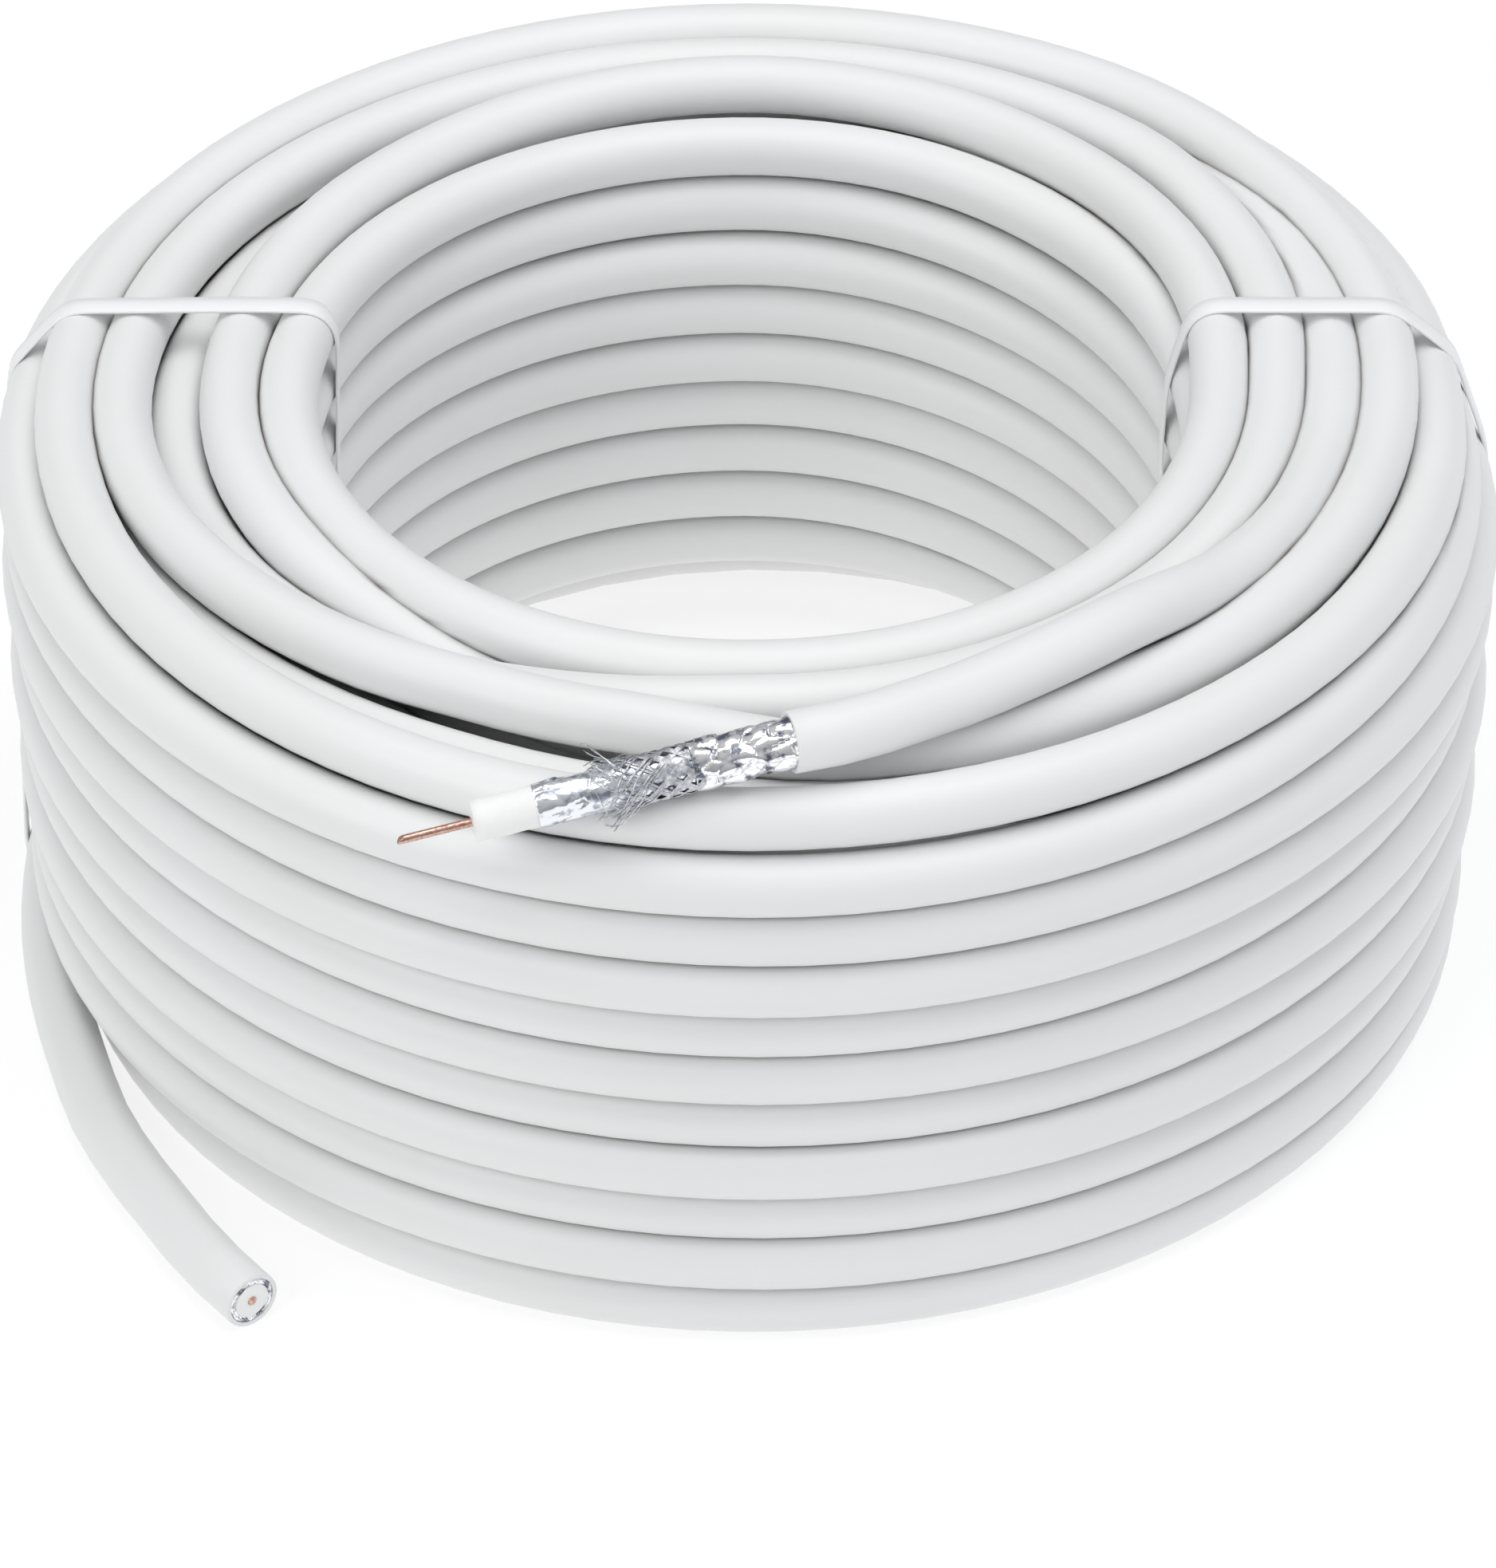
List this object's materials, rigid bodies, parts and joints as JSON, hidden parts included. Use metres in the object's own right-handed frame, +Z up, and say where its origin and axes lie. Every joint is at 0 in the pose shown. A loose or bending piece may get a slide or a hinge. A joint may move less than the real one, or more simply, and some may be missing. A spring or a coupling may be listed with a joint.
{
  "type": "coaxial cable coil",
  "caption": "White coaxial cable wound into a round coil that lies flat, tied with two thin straps, one end stripped back in steps and the other cut square.",
  "frame": {"origin": "on the floor, on the axis of the coil", "axes": "+Z up along the coil's axis, -Y towards the side where the stripped end crosses the rim, +X to the right of it"},
  "size_m": [0.174, 0.1756, 0.0833],
  "materials": {
    "jacket": "satin off-white PVC",
    "foil": "bright crinkled foil",
    "braid_wire": "fine grey woven wire",
    "foam": "matt white foam",
    "copper": "bare drawn copper",
    "strap": "smooth white strap"
  },
  "bodies": {
    "root": {"cable_coil": "jacket", "cable_tail": "jacket", "cable_lead": "jacket", "outer_foil": "foil", "braid": "braid_wire", "inner_foil": "foil", "dielectric": "foam", "conductor": "copper", "band_left": "strap", "band_right": "strap"}
  },
  "joints": []
}
